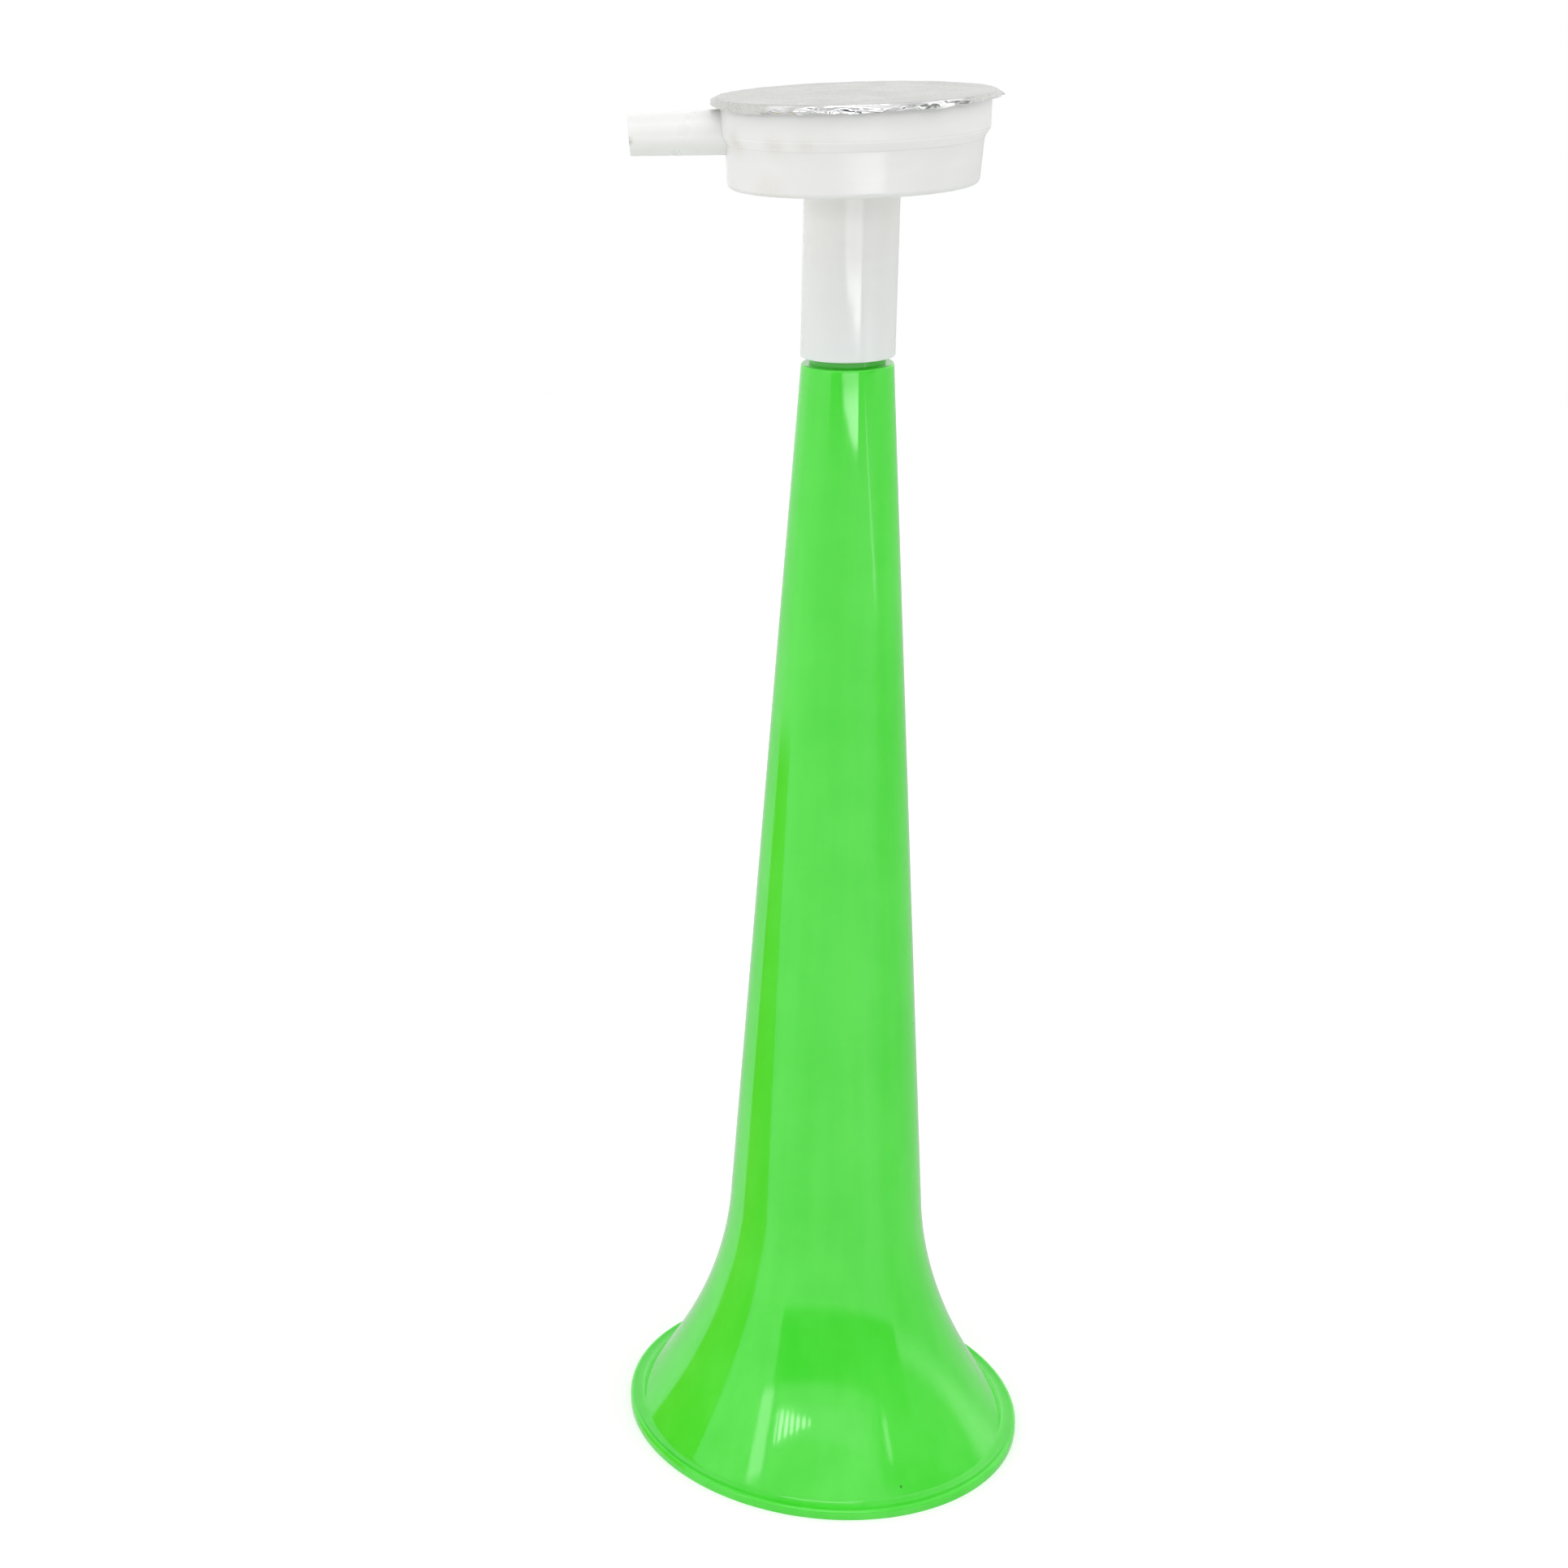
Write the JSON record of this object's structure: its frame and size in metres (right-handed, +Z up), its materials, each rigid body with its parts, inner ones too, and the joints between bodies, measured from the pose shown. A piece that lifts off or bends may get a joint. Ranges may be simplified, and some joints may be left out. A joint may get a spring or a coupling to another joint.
{
  "type": "vuvuzela",
  "caption": "Membrane horn: flared hollow bell with a flanged rim, tube neck on a spigot, stepped cup closed by a crimped foil lid, and a side blow pipe.",
  "frame": {"origin": "on the horn's axis, in the plane of the bell's rim, at the bottom of the part as it stands on its bell", "axes": "+Z up along the horn's axis from the bell to the foil lid, -X along the blow pipe towards its free end, +Y by the right-hand rule"},
  "size_m": [0.0825, 0.082, 0.28],
  "materials": {
    "green_plastic": "glossy moulded green plastic, slightly translucent",
    "white_tube_plastic": "satin white plastic, slightly translucent",
    "white_cup_plastic": "satin white plastic",
    "white_pipe_plastic": "satin white plastic",
    "foil": "matt foil, crimped and bright at the margin"
  },
  "bodies": {
    "horn": {"horn_bell": "green_plastic"},
    "neck": {"neck_tube": "white_tube_plastic"},
    "head": {"air_cup": "white_cup_plastic", "blow_pipe": "white_pipe_plastic", "foil_membrane": "foil"}
  },
  "joints": [
    {"name": "head_pull", "type": "slide", "parent": "horn", "child": "neck", "axis": [0, 0, 1], "range_m": [-0.0011, 0.02]},
    {"name": "head_turn", "type": "hinge", "parent": "neck", "child": "head", "pos_m": [0, 0, 0.2633], "axis": [0, 0, 1], "continuous": true}
  ]
}
